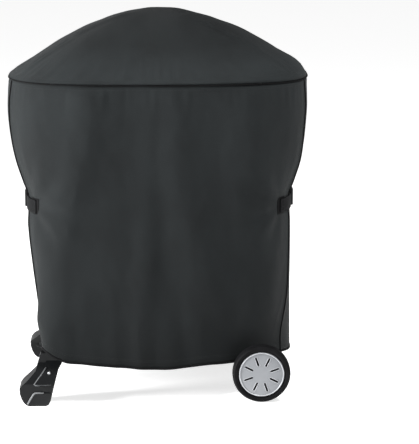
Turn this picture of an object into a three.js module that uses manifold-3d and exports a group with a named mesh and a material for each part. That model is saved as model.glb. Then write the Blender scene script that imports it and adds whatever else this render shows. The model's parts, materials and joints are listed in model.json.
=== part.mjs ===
// A fabric cover fitted over a small gas grill on a folding two-wheeled cart.
// Millimetres, +Z up, -Y is the front. The origin is on the ground under the middle of the cover.
import * as THREE from "three";
import { mergeVertices } from "three/addons/utils/BufferGeometryUtils.js";
import { RoundedBoxGeometry } from "three/addons/geometries/RoundedBoxGeometry.js";
import Module from "manifold-3d";

const wasm = await Module();
wasm.setup();

const { cos, sin, PI, abs, sign, hypot, atan2, max, min, exp } = Math;
const DEGREE = PI / 180;

// ---------------------------------------------------------------- driving dimensions

const GAP = 0.3; // between pieces that touch

// Cover: [height, half size] from the hem up to the seam of the top panel.
const SEAM_HEIGHT = 856;
const TOP_HEIGHT = 1038;
const FABRIC = 3;
const LEFT_SIDE = [[80, 312], [140, 313], [200, 322], [355, 343], [460, 352], [540, 352],
  [580, 366], [640, 388], [710, 403], [790, 409.8], [860, 399]];
const RIGHT_SIDE = [[80, 366], [200, 364], [355, 364], [460, 365], [540, 366], [580, 380],
  [640, 399], [710, 406], [790, 409.5], [860, 404.3]];
const FRONT_BACK = [[80, 256], [180, 256], [300, 250], [530, 243], [700, 252], [790, 257], [860, 254]];
// How square the corners of the plan are: 2 is an ellipse, 9 is nearly a rectangle.
const LEFT_CORNERS = [[80, 12], [160, 12], [230, 6], [320, 4], [530, 3.4], [860, 3]];
const RIGHT_CORNERS = [[80, 2.12], [165, 2.12], [300, 2.9], [530, 3.2], [860, 3]];
const LEFT_SLOPE = 1.7; // how the top falls from its middle to each end
const RIGHT_SLOPE = 1.85;
const HEM_HEIGHT = 92;
const LOOP_COLUMNS = 56; // columns all round the cover
const SIDE_COLUMNS = 8; // of those, on each side panel
// The hem's height by angle from the right-hand end, over the front: it is caught up over the foot.
const HEM = [[180, 112], [190, 112], [196, 112], [203, 118], [208, 127], [213, 139], [219, 145.5], [224, 142], [228, 128], [232, 115],
  [237, 111], [243, 106], [249, 103], [256, 100], [265, 97], [275, 95.5], [283, 99], [289, 102.5], [297, 103], [325, 104.5], [335, 103], [347, 96], [360, HEM_HEIGHT]];
const ROW_HEIGHTS = [HEM_HEIGHT, 162, 230, 315, 410, 496, 544, 590, 640, 700, 760, 815, SEAM_HEIGHT];
const PANEL_ROWS = ROW_HEIGHTS.length - 1;
const PIPING_RADIUS = 2;
const SEAM_RADIUS = 1.5;

// Cinch straps and their side-release buckles.
const STRAP_HEIGHT = 520;
const STRAP_WIDTH = 38;
const STRAP_THICKNESS = 1.8;
const STRAP_OFFSET = 1.9; // from the fabric to the strap
const STRAP_END_ANGLE = 36.6 * DEGREE; // where each strap is sewn down, from the side's middle
const PATCH = 1.2;
const BUCKLE_WIDTH = 46;
const BUCKLE_THICKNESS = 9;
const SOCKET_LENGTH = 36;
const PLUG_LENGTH = 18;
const PRONG_LENGTH = 23;

// Cart.
const WHEEL_RADIUS = 78;
const WHEEL_X = 279;
const WHEEL_INNER = 227; // from the middle plane to the wheel's two faces
const WHEEL_OUTER = 265;
const CAP_RADIUS = 61;
const CAP_SLOTS = 8;
const AXLE_RADIUS = 5;
const LEG_WIDTH = 34;
const LEG_THICKNESS = 20;
const LEG_SLOPE = 1.2; // rise over run
const LEG_TOP = 620;
const WHEEL_LEG_Y = 155;
const FOOT_LEG_TOP_Y = 178;
const FOOT_LEG_LOW_Y = 208;
const FOOT_LEG_X = -268; // where the foot leg's middle line is at the foot leg's height
const FOOT_LEG_HEIGHT = 125;
const FOOT_FRONT = 281;
const FOOT_BACK = 192;
const CROSSBAR_RADIUS = 12;

// Grill.
const FIREBOX = { width: 300, depth: 190, low: 652.8, high: 788, wall: 5 };
const LID = { width: 312, depth: 203, low: 788.6, rise: 220, wall: 5 };
const RAIL_Y = 110;
const PANEL_FRONT = 215;

// ---------------------------------------------------------------- materials

const finish = (color, roughness, metalness = 0) =>
  new THREE.MeshStandardMaterial({ color, roughness, metalness });

const FABRIC_GREY = finish(0x34383a, 0.85);
const PIPING_BLACK = finish(0x0b0c0d, 0.7);
const WEBBING_BLACK = finish(0x121314, 0.8);
const PLASTIC_BLACK = finish(0x17191a, 0.45);
const TYRE_BLACK = finish(0x18181a, 0.75);
const CAP_GREY = finish(0x93969b, 0.45, 0.2);
const TUBE_BLACK = finish(0x1c2021, 0.4, 0.5);
const STEEL = finish(0xb0b2b4, 0.3, 1);
const CAST_ALUMINIUM = finish(0x55585a, 0.5, 0.7);
const LID_GREY = finish(0x3b3e40, 0.4, 0.4);
const IRON = finish(0x1a1a1b, 0.6, 0.4);

// ---------------------------------------------------------------- helpers

const vector = (x, y, z) => new THREE.Vector3(x, y, z);

function piece(name, geometry, material) {
  const mesh = new THREE.Mesh(geometry, material);
  mesh.name = name;
  return mesh;
}

// The value at a height of a smooth curve through [height, value] points.
function along(levels, height) {
  const last = levels.length - 1;
  if (height <= levels[0][0]) return levels[0][1];
  if (height >= levels[last][0]) return levels[last][1];
  const i = levels.findIndex(([z]) => z > height) - 1;
  const slope = (k) => {
    const low = levels[max(k - 1, 0)];
    const high = levels[min(k + 1, last)];
    return (high[1] - low[1]) / (high[0] - low[0]);
  };
  const step = levels[i + 1][0] - levels[i][0];
  const t = (height - levels[i][0]) / step;
  const s = t * t * (3 - 2 * t);
  const fromLow = slope(i) * step * t * (1 - t) * (1 - t);
  const fromHigh = slope(i + 1) * step * t * t * (1 - t);
  return levels[i][1] * (1 - s) + levels[i + 1][1] * s + fromLow - fromHigh;
}

const between = (low, high, share) => low + (high - low) * share;

// A rise and fall of height 1 about an angle, all angles in degrees.
const bump = (angle, middle, spread) => exp(-(((angle - middle) / spread) ** 2));

// A geometry whose every vertex (x, y, z) is moved to place(x, y, z).
function shaped(geometry, place) {
  const corners = geometry.getAttribute("position");
  for (let i = 0; i < corners.count; i++) {
    const p = place(corners.getX(i), corners.getY(i), corners.getZ(i));
    corners.setXYZ(i, p.x, p.y, p.z);
  }
  geometry.computeVertexNormals();
  return geometry;
}

// A closed sheet: place(u, v, w) takes each from 0 to 1, with w across the sheet's thickness.
const sheet = (columns, rows, place) =>
  shaped(new THREE.BoxGeometry(1, 1, 1, columns, rows, 1), (x, y, z) => place(x + 0.5, y + 0.5, z + 0.5));

function solidOf(geometry) {
  const bare = geometry.index ? geometry.toNonIndexed() : geometry.clone();
  bare.deleteAttribute("normal");
  bare.deleteAttribute("uv");
  const merged = mergeVertices(bare, 1e-3);
  return new wasm.Manifold(new wasm.Mesh({
    numProp: 3,
    vertProperties: merged.attributes.position.array,
    triVerts: new Uint32Array(merged.index.array),
  }));
}

function geometryOf(solid) {
  const mesh = solid.getMesh();
  const geometry = new THREE.BufferGeometry();
  geometry.setAttribute("position", new THREE.BufferAttribute(new Float32Array(mesh.vertProperties), 3));
  geometry.setIndex(new THREE.BufferAttribute(new Uint32Array(mesh.triVerts), 1));
  geometry.computeVertexNormals();
  return geometry;
}

const cut = (geometry, ...tools) =>
  geometryOf(tools.reduce((left, tool) => left.subtract(solidOf(tool)), solidOf(geometry)));
const join = (geometry, ...others) =>
  geometryOf(others.reduce((left, other) => left.add(solidOf(other)), solidOf(geometry)));

const block = (x, y, z, width, depth, height) =>
  new THREE.BoxGeometry(width, depth, height).translate(x, y, z);

// A cylinder along Y from y0 to y1.
function rod(x, z, radius, y0, y1, sides = 16) {
  return new THREE.CylinderGeometry(radius, radius, abs(y1 - y0), sides).translate(x, (y0 + y1) / 2, z);
}

// A turned piece about an axis along Y: profile is [radius, y] points.
const turned = (profile, segments, x, z) =>
  new THREE.LatheGeometry(profile.map(([radius, y]) => new THREE.Vector2(radius, y)), segments).translate(x, 0, z);

// The same geometry on the other side of the middle plane y = 0.
function mirrored(geometry) {
  const turnedOver = (geometry.index ? geometry.toNonIndexed() : geometry.clone()).scale(1, -1, 1);
  const corners = turnedOver.getAttribute("position");
  for (let i = 0; i < corners.count; i += 3) {
    const a = new THREE.Vector3().fromBufferAttribute(corners, i);
    const b = new THREE.Vector3().fromBufferAttribute(corners, i + 1);
    corners.setXYZ(i, b.x, b.y, b.z);
    corners.setXYZ(i + 1, a.x, a.y, a.z);
  }
  turnedOver.computeVertexNormals();
  return turnedOver;
}

// A rounded outline extruded by depth, for plates and bars: width along X, height along Y.
function roundedOutline(width, height, radius) {
  const outline = new THREE.Shape();
  const x = width / 2 - radius;
  const y = height / 2 - radius;
  outline.absarc(x, y, radius, 0, PI / 2);
  outline.absarc(-x, y, radius, PI / 2, PI);
  outline.absarc(-x, -y, radius, PI, 1.5 * PI);
  outline.absarc(x, -y, radius, 1.5 * PI, 2 * PI);
  outline.closePath();
  return outline;
}

const extruded = (outline, depth, curveSegments = 3) =>
  new THREE.ExtrudeGeometry(outline, { depth, bevelEnabled: false, curveSegments });

// A straight bar of oval section between two points, its thin way along Y.
function legBar(from, to, width, thickness) {
  const run = to.clone().sub(from);
  const outline = roundedOutline(width, thickness, thickness / 2 - 1);
  const bar = extruded(outline, run.length());
  const lengthways = run.clone().normalize();
  const across = vector(0, 1, 0).cross(lengthways).normalize();
  const thin = lengthways.clone().cross(across);
  return bar.applyMatrix4(new THREE.Matrix4().makeBasis(across, thin, lengthways).setPosition(from));
}

// ---------------------------------------------------------------- the cover's surface

// The outward flick of the hem in the middle of the left side.
function hemFlick(height, degrees) {
  const low = max(0, (138 - height) / 28);
  return 26 * low ** 1.2 * bump(degrees, 193, 6.5);
}

// A point on the skirt, offset outwards from its outer face.
function skirtPoint(height, angle, offset = 0) {
  const z = abs(height - STRAP_HEIGHT) < 25 ? STRAP_HEIGHT : height; // drawn in under the strap
  const c = cos(angle);
  const s = sin(angle);
  const degrees = ((angle / DEGREE) % 360 + 360) % 360;
  const width = c < 0 ? along(LEFT_SIDE, z) + hemFlick(z, degrees) : along(RIGHT_SIDE, z);
  const depth = along(FRONT_BACK, z);
  const n = along(c < 0 ? LEFT_CORNERS : RIGHT_CORNERS, z);
  const reach = (abs(c) ** n + abs(s) ** n) ** (-1 / n);
  const x = c * reach;
  const y = s * reach;
  const outwards = new THREE.Vector2(sign(x) * abs(x) ** (n - 1) / width, sign(y) * abs(y) ** (n - 1) / depth);
  outwards.normalize();
  return vector(width * x + offset * outwards.x, depth * y + offset * outwards.y, height);
}

// The hem is lifted a little at its left corners by the legs, and at its right ones by the wheels.
function hemHeight(angle) {
  const degrees = ((angle / DEGREE) % 360 + 360) % 360;
  const front = degrees > 180 ? degrees : 360 - degrees;
  return along(HEM, front);
}

// The height of a share of the way up the panels, where the lowest row follows the hem.
function rowHeight(share, angle) {
  const row = Math.round(share * PANEL_ROWS);
  return row === 0 ? hemHeight(angle) : ROW_HEIGHTS[row];
}

// A point of the top panel's inner face at a share of the way from its middle out to the seam.
function topPoint(share, angle, lift) {
  const edge = skirtPoint(SEAM_HEIGHT, angle);
  const slope = cos(angle) < 0 ? LEFT_SLOPE : RIGHT_SLOPE;
  const low = SEAM_HEIGHT + 1;
  const shoulder = 30 * max(0, cos(angle)) * (share ** 6 - share ** 24); // the grill's lid pushes the right end up
  const height = between(low, TOP_HEIGHT - FABRIC, 1 - share ** slope) + shoulder;
  return vector(edge.x * share, edge.y * share, height + lift);
}

const COLUMN = (2 * PI) / LOOP_COLUMNS;
const CORNER_SEAM = (SIDE_COLUMNS * COLUMN) / 2; // the angle of the corner seams from a side's middle

function skirtPanel(firstAngle, columns) {
  const inset = 0.0008; // radians, half the gap between two panels
  return sheet(columns, PANEL_ROWS, (u, v, w) => {
    const angle = firstAngle + inset + u * (columns * COLUMN - 2 * inset);
    return skirtPoint(rowHeight(v, angle), angle, (w - 1) * FABRIC);
  });
}

// The top panel is a square sheet of rings whose outermost one follows the seam's columns.
function topPanel() {
  const cells = LOOP_COLUMNS / 4;
  return sheet(cells, cells, (u, v, w) => {
    const x = 2 * u - 1;
    const y = 2 * v - 1;
    const share = max(abs(x), abs(y));
    if (share === 0) return topPoint(0, 0, w * FABRIC);
    // Equal steps along the square's edge become equal columns of the loop.
    const quarter = abs(x) >= abs(y) ? (x > 0 ? 0 : 2) : (y > 0 ? 1 : 3);
    const step = [y, -x, -y, x][quarter] / share;
    const angle = quarter * (PI / 2) + step * (PI / 4);
    return topPoint(share, angle, w * FABRIC);
  });
}

// A bead all round the cover that follows its columns.
function bead(radius, offset, heightAt) {
  const hoop = 100;
  return shaped(new THREE.TorusGeometry(hoop, radius, 6, LOOP_COLUMNS), (x, y, z) => {
    const angle = atan2(y, x);
    return skirtPoint(heightAt(angle), angle, offset + hypot(x, y) - hoop).add(vector(0, 0, z));
  });
}

// A bead down a corner seam, from just under the piping to just over the hem binding.
function cornerSeam(angle) {
  const cord = new THREE.CylinderGeometry(SEAM_RADIUS, SEAM_RADIUS, 1, 6, PANEL_ROWS);
  return shaped(cord, (x, y, z) => {
    const row = rowHeight(y + 0.5, angle);
    const height = max(hemHeight(angle) + 3, min(SEAM_HEIGHT - 3, row));
    const flat = abs(height - STRAP_HEIGHT) < 25 ? 0.4 : 1; // pressed flat where the strap crosses it
    const here = skirtPoint(height, angle, 0.5 + flat * (SEAM_RADIUS + x));
    const outwards = skirtPoint(height, angle, 1).sub(skirtPoint(height, angle));
    return here.add(vector(-outwards.y, outwards.x, 0).multiplyScalar(-z));
  });
}

function coverPanels() {
  const frontColumns = LOOP_COLUMNS / 2 - SIDE_COLUMNS;
  const group = new THREE.Group();
  group.add(
    piece("cover_top", topPanel(), FABRIC_GREY),
    piece("cover_right", skirtPanel(-CORNER_SEAM, SIDE_COLUMNS), FABRIC_GREY),
    piece("cover_rear", skirtPanel(CORNER_SEAM, frontColumns), FABRIC_GREY),
    piece("cover_left", skirtPanel(PI - CORNER_SEAM, SIDE_COLUMNS), FABRIC_GREY),
    piece("cover_front", skirtPanel(PI + CORNER_SEAM, frontColumns), FABRIC_GREY),
    piece("top_piping", bead(PIPING_RADIUS, PIPING_RADIUS + 0.5, () => SEAM_HEIGHT + 1), PIPING_BLACK),
    piece("hem_binding", bead(3, -FABRIC / 2, (angle) => hemHeight(angle) - 3.4), PIPING_BLACK),
    piece("seam_rear_right", cornerSeam(CORNER_SEAM), PIPING_BLACK),
    piece("seam_rear_left", cornerSeam(PI - CORNER_SEAM), PIPING_BLACK),
    piece("seam_front_left", cornerSeam(PI + CORNER_SEAM), PIPING_BLACK),
    piece("seam_front_right", cornerSeam(-CORNER_SEAM), PIPING_BLACK),
  );
  return group;
}

// ---------------------------------------------------------------- straps and buckles

// A length of webbing laid along the skirt between two angles.
function webbing(fromAngle, toAngle, width, offset, thickness) {
  const stops = [fromAngle];
  for (let k = Math.floor(fromAngle / COLUMN) + 1; k * COLUMN < toAngle; k++) stops.push(k * COLUMN);
  stops.push(toAngle);
  const columns = stops.length - 1;
  return sheet(columns, 1, (u, v, w) => {
    const angle = stops[Math.round(u * columns)];
    const middle = skirtPoint(STRAP_HEIGHT, angle, offset + w * thickness);
    return middle.add(vector(0, 0, (v - 0.5) * width));
  });
}

// The angle on a side at which the skirt reaches a distance along Y from the side's middle.
function angleAt(distance) {
  let angle = 0;
  while (skirtPoint(STRAP_HEIGHT, angle).y < distance) angle += 0.1 * DEGREE;
  return angle;
}

// Buckle pieces are drawn flat, X outwards from the fabric and Y backwards along the strap, and then
// set on a side of the cover: side is 1 on the right and -1 on the left.
function onSide(geometry, side) {
  const half = along(side > 0 ? RIGHT_SIDE : LEFT_SIDE, STRAP_HEIGHT);
  return geometry.clone().rotateY(side > 0 ? 0 : PI).translate(side * (half + 0.6), 0, STRAP_HEIGHT);
}

function socketShape() {
  const middle = BUCKLE_THICKNESS / 2;
  const body = new RoundedBoxGeometry(BUCKLE_THICKNESS, SOCKET_LENGTH, BUCKLE_WIDTH, 1, 2.5);
  body.translate(middle, -SOCKET_LENGTH / 2, 0);
  const pocket = block(middle + 0.5, -12, 0, 4.4, 26, 41);
  const window = block(middle + 0.5, -16, 0, 4, 12, 60);
  const strapSlot = block(STRAP_OFFSET + 0.3, -SOCKET_LENGTH + 3, 0, 2.8, 12, STRAP_WIDTH + 1);
  return cut(body, pocket, window, strapSlot);
}

// The plug's strap slot runs right through, so that it slides back along its strap when it comes out.
function plugShape() {
  const middle = BUCKLE_THICKNESS / 2;
  const base = new RoundedBoxGeometry(BUCKLE_THICKNESS, PLUG_LENGTH, BUCKLE_WIDTH, 1, 2.5);
  base.translate(middle, PLUG_LENGTH / 2 + GAP, 0);
  const prong = (z) => block(middle + 0.7, -PRONG_LENGTH / 2 + 1, z, 3.2, PRONG_LENGTH + 2, 4.5);
  const barb = (z) => block(middle + 0.7, -16, z, 3, 8, 5.5);
  const guide = block(middle + 0.7, -8, 0, 3.2, 18, 6);
  const strapSlot = block(STRAP_OFFSET + 0.3, PLUG_LENGTH / 2, 0, 3, 40, STRAP_WIDTH + 1);
  return cut(join(base, prong(-15.5), prong(15.5), barb(-17.2), barb(17.2), guide), strapSlot);
}

function sideStrap(side) {
  const name = side > 0 ? "right" : "left";
  const middle = side > 0 ? 0 : PI;
  const toFront = -side; // which way round the front lies from the side's middle
  const [socketEnd, plugEnd] = [SOCKET_LENGTH - 8, PLUG_LENGTH - 9].map(angleAt);
  const lay = (towards, near, far, width, offset, thickness) => {
    const ends = [middle + towards * near, middle + towards * far].sort((a, b) => a - b);
    return webbing(ends[0], ends[1], width, offset, thickness);
  };
  const strap = (towards, near) =>
    lay(towards, near, STRAP_END_ANGLE, STRAP_WIDTH, STRAP_OFFSET, STRAP_THICKNESS);
  const patch = (towards) =>
    lay(towards, 5 * COLUMN, 6 * COLUMN, 46, 0.4, PATCH);
  const group = new THREE.Group();
  group.add(
    piece(`strap_${name}_front`, strap(toFront, socketEnd), WEBBING_BLACK),
    piece(`strap_${name}_rear`, strap(-toFront, plugEnd), WEBBING_BLACK),
    piece(`patch_${name}_front`, patch(toFront), PIPING_BLACK),
    piece(`patch_${name}_rear`, patch(-toFront), PIPING_BLACK),
    piece(`buckle_${name}_socket`, onSide(socketShape(), side), PLASTIC_BLACK),
    piece(`buckle_${name}_plug`, onSide(plugShape(), side), PLASTIC_BLACK),
  );
  return group;
}

// ---------------------------------------------------------------- wheels

function wheel(name) {
  const z = WHEEL_RADIUS;
  const middle = -(WHEEL_INNER + WHEEL_OUTER) / 2;
  const half = (WHEEL_OUTER - WHEEL_INNER) / 2;
  const tyre = [[64, -half + 3], [72, -half], [WHEEL_RADIUS, -half + 9], [WHEEL_RADIUS, half - 9], [72, half],
    [64, half - 3], [64, -half + 3]];
  const bore = AXLE_RADIUS + 0.6;
  const hub = [[bore, -8], [22, -8], [24, -2], [56, -2], [58, -half + 9], [62.6, -half + 9], [62.6, half - 5],
    [24, half - 2], [bore, half - 2], [bore, -8]];
  const cap = [[0, -half + 1.5], [40, -half + 2], [CAP_RADIUS, -half + 5], [CAP_RADIUS, -half + 8],
    [38, -half + 6], [0, -half + 6], [0, -half + 1.5]];
  const slots = [];
  for (let i = 0; i < CAP_SLOTS; i++) {
    const slot = block(37, 0, 0, 22, 60, 3.2);
    slots.push(slot.rotateY(-(19 + i * (360 / CAP_SLOTS)) * DEGREE));
  }
  const at = (geometry) => geometry.translate(WHEEL_X, middle, z);
  const shapes = {
    tyre: [at(turned(tyre, 36, 0, 0)), TYRE_BLACK],
    hub: [at(turned(hub, 18, 0, 0)), PLASTIC_BLACK],
    cap: [at(cut(turned(cap, 32, 0, 0), ...slots)), CAP_GREY],
  };
  const group = new THREE.Group();
  for (const [part, [geometry, material]] of Object.entries(shapes)) {
    const shown = name === "front" ? geometry : mirrored(geometry);
    group.add(piece(`${name}_wheel_${part}`, shown, material));
  }
  return group;
}

// ---------------------------------------------------------------- cart frame

const FOOT_LINE = (z) => FOOT_LEG_X + (z - FOOT_LEG_HEIGHT) / LEG_SLOPE;
const WHEEL_LINE = (z) => WHEEL_X - (z - WHEEL_RADIUS) / LEG_SLOPE;
const FOOT_LEG_Y = (z) => between(FOOT_LEG_LOW_Y, FOOT_LEG_TOP_Y, (z - 60) / (LEG_TOP - 60));
const PIVOT = {
  x: (FOOT_LEG_X + WHEEL_X + (WHEEL_RADIUS - FOOT_LEG_HEIGHT) / LEG_SLOPE) / 2,
  get z() {
    return FOOT_LEG_HEIGHT + (this.x - FOOT_LEG_X) * LEG_SLOPE;
  },
};
const FOOT_BAR_Z = 170;
const SCREW_X = -286;
const SCREW_Z = 84;

function footLegBar(low, high, grow = 0) {
  const from = vector(FOOT_LINE(low), -FOOT_LEG_Y(low), low);
  const to = vector(FOOT_LINE(high), -FOOT_LEG_Y(high), high);
  return legBar(from, to, LEG_WIDTH + 2 * grow, LEG_THICKNESS + 2 * grow);
}

function footLeg() {
  return cut(footLegBar(60, LEG_TOP + 16),
    rod(PIVOT.x, PIVOT.z, 6.4, -300, -100, 12),
    rod(FOOT_LINE(LEG_TOP), LEG_TOP, CROSSBAR_RADIUS + 0.5, -300, -100),
    rod(FOOT_LINE(FOOT_BAR_Z), FOOT_BAR_Z, 9.5, -300, -100, 12));
}

function wheelLeg() {
  const from = vector(WHEEL_LINE(66), -WHEEL_LEG_Y, 66);
  const to = vector(WHEEL_LINE(LEG_TOP + 16), -WHEEL_LEG_Y, LEG_TOP + 16);
  return cut(legBar(from, to, LEG_WIDTH, LEG_THICKNESS),
    rod(PIVOT.x, PIVOT.z, 6.4, -300, -100, 12),
    rod(WHEEL_LINE(LEG_TOP), LEG_TOP, CROSSBAR_RADIUS + 0.5, -300, -100),
    rod(WHEEL_X, WHEEL_RADIUS, AXLE_RADIUS + 0.4, -300, -100, 12));
}

// A prism along X over points given as [y, z].
function prism(points, x0, x1) {
  const outline = new THREE.Shape(points.map(([y, z]) => new THREE.Vector2(y, z)));
  return extruded(outline, x1 - x0)
    .applyMatrix4(new THREE.Matrix4().makeBasis(vector(0, 1, 0), vector(0, 0, 1), vector(1, 0, 0)))
    .translate(x0, 0, 0);
}

// The moulded foot: a broad rounded toe below a neck that takes the leg's lower end in a pocket.
function foot() {
  const outline = new THREE.Shape();
  outline.moveTo(-299, 0);
  outline.lineTo(-339, 0);
  outline.quadraticCurveTo(-363, 18, -363, 45);
  outline.quadraticCurveTo(-363, 74, -322, 91);
  outline.lineTo(-309, 132);
  outline.lineTo(-240, 132);
  outline.lineTo(-266, 91);
  outline.lineTo(-275, 59);
  outline.lineTo(-282, 30);
  outline.quadraticCurveTo(-288, 4, -299, 0);
  const solid = extruded(outline, FOOT_FRONT - FOOT_BACK, 5).rotateX(PI / 2).translate(0, -FOOT_BACK, 0);
  const front = [[-300, 60], [-FOOT_FRONT - 1, 60], [-225, 106], [-225, 200], [-300, 200]];
  const back = [[-213, -5], [-180, -5], [-180, 70], [-192, 70], [-213, 42]];
  return cut(solid, prism(front, -400, -200), prism(back, -400, -200), footLegBar(60 - GAP, 300, GAP),
    rod(SCREW_X, SCREW_Z, 4.4, -FOOT_FRONT - 1, -236, 10));
}

function frontFrame() {
  const bushBack = FOOT_LEG_Y(PIVOT.z) - LEG_THICKNESS / 2 - 1.5;
  const bushFront = WHEEL_LEG_Y + LEG_THICKNESS / 2 + 0.4;
  const bush = turned([[6.4, -bushBack], [12, -bushBack], [12, -bushFront], [6.4, -bushFront], [6.4, -bushBack]],
    12, PIVOT.x, PIVOT.z);
  const bolt = join(
    rod(PIVOT.x, PIVOT.z, 5.6, -206, -139, 12),
    rod(PIVOT.x, PIVOT.z, 10, -210, -FOOT_LEG_Y(PIVOT.z) - LEG_THICKNESS / 2 - 1.4, 12),
    rod(PIVOT.x, PIVOT.z, 9, -WHEEL_LEG_Y + LEG_THICKNESS / 2 + 0.4, -138, 6),
  );
  return {
    foot_leg: [footLeg(), TUBE_BLACK],
    wheel_leg: [wheelLeg(), TUBE_BLACK],
    foot: [foot(), PLASTIC_BLACK],
    foot_screw: [rod(SCREW_X, SCREW_Z, 4, -250, -237, 10), STEEL],
    pivot_bush: [bush, PLASTIC_BLACK],
    pivot_bolt: [bolt, STEEL],
  };
}

function cart() {
  const group = new THREE.Group();
  for (const [part, [geometry, material]] of Object.entries(frontFrame())) {
    group.add(
      piece(`front_${part}`, geometry, material),
      piece(`rear_${part}`, mirrored(geometry), material),
    );
  }
  const crossbar = (x, reach) => rod(x, LEG_TOP, CROSSBAR_RADIUS, -reach, reach);
  const rail = (y) => {
    const low = LEG_TOP + CROSSBAR_RADIUS + 0.4;
    return new RoundedBoxGeometry(540, 20, 20, 1, 2).translate(0, y, low + 10);
  };
  group.add(
    piece("axle", rod(WHEEL_X, WHEEL_RADIUS, AXLE_RADIUS, -253, 253, 12), STEEL),
    piece("foot_crossbar", rod(FOOT_LINE(FOOT_BAR_Z), FOOT_BAR_Z, 9, -212, 212, 12), TUBE_BLACK),
    piece("left_crossbar", crossbar(WHEEL_LINE(LEG_TOP), 170), TUBE_BLACK),
    piece("right_crossbar", crossbar(FOOT_LINE(LEG_TOP), 193), TUBE_BLACK),
    piece("front_cradle_rail", rail(-RAIL_Y), TUBE_BLACK),
    piece("rear_cradle_rail", rail(RAIL_Y), TUBE_BLACK),
  );
  return group;
}

// ---------------------------------------------------------------- grill

// A dished oval: radiusAt and heightAt take the share of the way from the middle to the rim.
function dish(size, cells, radiusAt, heightAt) {
  return sheet(cells, cells, (u, v, w) => {
    const x = 2 * u - 1;
    const y = 2 * v - 1;
    const share = max(abs(x), abs(y));
    const angle = atan2(y, x);
    const n = 3;
    const reach = share === 0 ? 0 : (abs(cos(angle)) ** n + abs(sin(angle)) ** n) ** (-1 / n);
    const radius = radiusAt(share, w) * reach;
    return vector(size.width * radius * cos(angle), size.depth * radius * sin(angle), heightAt(share, w));
  });
}

function firebox() {
  const flat = 0.6; // the share of the sheet that makes the flat bottom
  const bottom = 0.84;
  const { low, high, wall, depth } = FIREBOX;
  const climb = (share) => max(0, (share - flat) / (1 - flat));
  return dish(FIREBOX, 10,
    (share, w) => (share < flat ? (bottom * share) / flat : between(bottom, 1, climb(share))) * (1 - (w * wall) / depth),
    (share, w) => between(low, high, climb(share)) + w * wall * (1 - climb(share)));
}

function lid() {
  const { low, rise, wall, depth } = LID;
  return dish(LID, 12,
    (share, w) => share * (1 - ((1 - w) * wall) / depth),
    (share, w) => low + (rise - (1 - w) * wall * (1 - share ** 8)) * (1 - share ** 3));
}

function grate() {
  const slots = [];
  for (let x = -200; x <= 200; x += 40) slots.push(block(x, 0, 776, 26, 244, 20));
  return cut(extruded(roundedOutline(440, 270, 20), 8).translate(0, 0, 772), ...slots);
}

function burner() {
  const hoop = 100;
  return shaped(new THREE.TorusGeometry(hoop, 8, 6, 28), (x, y, z) => {
    const angle = atan2(y, x);
    const out = hypot(x, y) - hoop;
    return vector((165 + out) * cos(angle), (85 + out) * sin(angle), 715 + z);
  });
}

function dripTray() {
  return cut(block(0, 0, 625, 190, 2 * RAIL_Y - 20.8, 50), block(0, 0, 630, 184, 2 * RAIL_Y - 27, 50));
}

function handlePost(x) {
  return new RoundedBoxGeometry(18, 27, 16, 1, 3).translate(x, -202, 850);
}

function hinge(x) {
  const arm = new RoundedBoxGeometry(26, 22, 46, 1, 3).translate(x, 217.5, 776);
  return join(arm, new THREE.CylinderGeometry(7, 7, 34, 12).rotateZ(PI / 2).translate(x, 217, 803));
}

function controlKnob() {
  const knob = turned([[0, 0], [15, 0], [17, -2], [20, -11], [21, -14], [0, -14], [0, 0]].reverse(), 20, 0, 0);
  const grip = new RoundedBoxGeometry(7, 6, 38, 1, 2).translate(0, -15.5, 0);
  return join(knob, grip).translate(0, -PANEL_FRONT - 0.4 + 2, 735);
}

function grill() {
  const panel = new RoundedBoxGeometry(170, 22, 60, 1, 4).translate(10, -PANEL_FRONT + 13, 735);
  const seat = rod(0, 735, 16, -PANEL_FRONT - 5, -PANEL_FRONT + 7, 16);
  const buttonSeat = rod(62, 735, 7.6, -PANEL_FRONT - 5, -PANEL_FRONT + 11, 12);
  const group = new THREE.Group();
  group.add(
    piece("firebox", firebox(), CAST_ALUMINIUM),
    piece("grill_lid", lid(), LID_GREY),
    piece("lid_handle", new THREE.CapsuleGeometry(9, 240, 3, 12).rotateZ(PI / 2).translate(0, -225.5, 850), PLASTIC_BLACK),
    piece("left_handle_post", handlePost(-100), PLASTIC_BLACK),
    piece("right_handle_post", handlePost(100), PLASTIC_BLACK),
    piece("left_lid_hinge", hinge(-150), CAST_ALUMINIUM),
    piece("right_lid_hinge", hinge(150), CAST_ALUMINIUM),
    piece("cooking_grate", grate(), IRON),
    piece("burner_tube", burner(), STEEL),
    piece("drip_tray", dripTray(), STEEL),
    piece("control_panel", cut(panel, seat, buttonSeat), PLASTIC_BLACK),
    piece("control_knob", controlKnob(), PLASTIC_BLACK),
    piece("igniter_button", rod(62, 735, 7, -PANEL_FRONT - 4, -PANEL_FRONT + 5, 12), STEEL),
  );
  return group;
}

// ---------------------------------------------------------------- the whole object

const coveredGrill = new THREE.Group();
coveredGrill.add(coverPanels(), sideStrap(-1), sideStrap(1), cart(), wheel("front"), wheel("rear"), grill());

export default coveredGrill;
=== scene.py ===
import json
from math import atan2, cos, exp, hypot, pi, radians, sin
import bmesh
import bpy
from mathutils import Matrix, Vector, noise

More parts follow.
